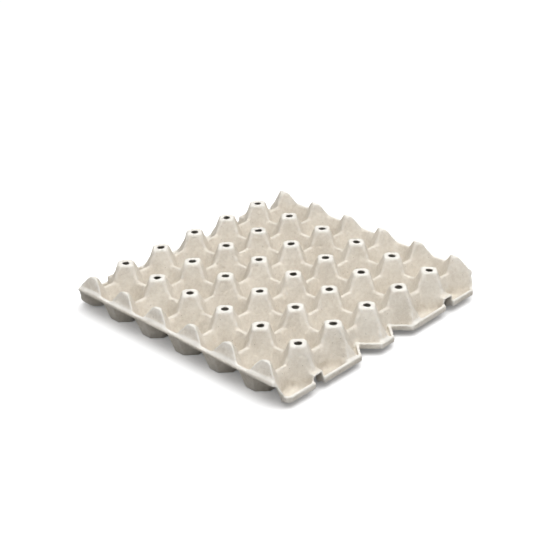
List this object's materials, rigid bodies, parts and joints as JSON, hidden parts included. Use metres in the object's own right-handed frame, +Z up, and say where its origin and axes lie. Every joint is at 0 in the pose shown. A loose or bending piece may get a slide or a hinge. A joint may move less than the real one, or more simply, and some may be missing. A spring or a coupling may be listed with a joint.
{
  "type": "pulp egg tray",
  "caption": "Open moulded-pulp tray with a square grid of eight-sided egg cups, hollow vented posts between them, two toothed flanged edges and two notched skirts.",
  "frame": {"origin": "centre of the tray in plan, on the flat that the cups stand on", "axes": "+Z up, out of the cups; +X along the longer row of cups, so the toothed edges face +X and -X and the skirts face +Y and -Y"},
  "size_m": [0.294, 0.295, 0.042],
  "materials": {
    "pulp": "matte, fibrous"
  },
  "bodies": {
    "root": {"egg_tray": "pulp"}
  },
  "joints": []
}
